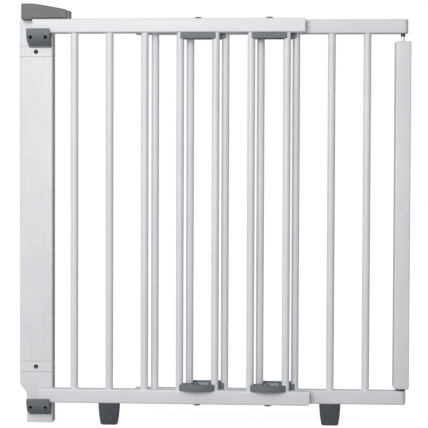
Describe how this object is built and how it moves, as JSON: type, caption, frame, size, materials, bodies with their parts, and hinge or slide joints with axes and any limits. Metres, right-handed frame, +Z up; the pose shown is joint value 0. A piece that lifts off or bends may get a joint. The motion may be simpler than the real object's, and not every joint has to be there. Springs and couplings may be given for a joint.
{
  "type": "safety gate",
  "caption": "White wooden safety gate for a stairway or doorway: two overlapping lattice frames joined by slotted connectors, hinged on a wall post and latched to a wall board.",
  "frame": {"origin": "on the floor, midway between the two walls, on the plane between the two frames", "axes": "+Z up, +X from the latch wall to the hinge wall, +Y from the front frame to the rear frame"},
  "size_m": [0.7866, 0.069, 0.847],
  "materials": {
    "white_paint": "satin white paint on wood",
    "grey_plastic": "fine-textured moulded slate grey",
    "dark_plastic": "fine-textured moulded dark grey",
    "tip_plastic": "moulded brownish grey",
    "zinc_plate": "blue zinc plating",
    "steel": "plain plated fixings"
  },
  "bodies": {
    "hinge_side": {"hinge_post": "white_paint", "top_hinge_pin": "steel", "bottom_hinge_pin": "steel", "top_hinge_sleeve": "dark_plastic", "bottom_hinge_washer": "dark_plastic"},
    "latch_side": {"latch_board": "white_paint", "top_catch": "grey_plastic", "bottom_catch": "grey_plastic", "top_catch_left_screw": "steel", "top_catch_right_screw": "steel", "bottom_catch_left_screw": "steel", "bottom_catch_right_screw": "steel", "keeper_plate": "zinc_plate", "keeper_screw": "steel"},
    "rear_frame": {"rear_top_rail": "white_paint", "rear_bottom_rail": "white_paint", "rear_bar_1": "white_paint", "rear_bar_2": "white_paint", "rear_bar_3": "white_paint", "rear_bar_4": "white_paint", "rear_bar_5": "white_paint", "rear_bar_6": "white_paint", "rear_bar_7": "white_paint", "right_foot": "dark_plastic", "bottom_left_rear_shoe": "grey_plastic", "bottom_right_rear_shoe": "grey_plastic", "top_left_rear_shoe": "grey_plastic", "top_right_rear_shoe": "grey_plastic", "bottom_left_clamp_plate": "zinc_plate", "bottom_right_clamp_plate": "zinc_plate", "top_left_clamp_plate": "zinc_plate", "top_right_clamp_plate": "zinc_plate"},
    "front_frame": {"front_top_rail": "white_paint", "front_bottom_rail": "white_paint", "front_bar_1": "white_paint", "front_bar_2": "white_paint", "front_bar_3": "white_paint", "front_bar_4": "white_paint", "front_bar_5": "white_paint", "front_bar_6": "white_paint", "front_bar_7": "white_paint", "left_foot": "dark_plastic", "bottom_left_front_shoe": "grey_plastic", "bottom_right_front_shoe": "grey_plastic", "top_left_front_shoe": "grey_plastic", "top_right_front_shoe": "grey_plastic", "bottom_left_clamp_bolt": "steel", "bottom_right_clamp_bolt": "steel", "top_left_clamp_bolt": "steel", "top_right_clamp_bolt": "steel", "bottom_left_clamp_nut": "steel", "bottom_right_clamp_nut": "steel", "top_left_clamp_nut": "steel", "top_right_clamp_nut": "steel", "latch_base": "dark_plastic", "latch_cover": "grey_plastic", "latch_screw": "steel", "latch_spring": "steel"},
    "latch_slider": {"latch_bolt": "dark_plastic", "release_tip": "tip_plastic"}
  },
  "joints": [
    {"name": "opening_width", "type": "slide", "parent": "hinge_side", "child": "latch_side", "axis": [-1, 0, 0], "range_m": [-0.016, 0.0025]},
    {"name": "gate_swing", "type": "hinge", "parent": "hinge_side", "child": "rear_frame", "pos_m": [0.37827, 0.0105, 0], "axis": [0, 0, 1], "range_deg": [0, 90]},
    {"name": "frame_extension", "type": "slide", "parent": "rear_frame", "child": "front_frame", "axis": [-1, 0, 0], "range_m": [-0.016, 0.0025]},
    {"name": "latch_release", "type": "slide", "parent": "front_frame", "child": "latch_slider", "axis": [-1, 0, 0], "range_m": [0, 0.006], "stiffness_N_per_m": 400, "springref_m": -0.004, "deforming": ["latch_spring"]}
  ],
  "couplings": [
    {"joint": "frame_extension", "follows": "opening_width", "ratio": 1}
  ]
}
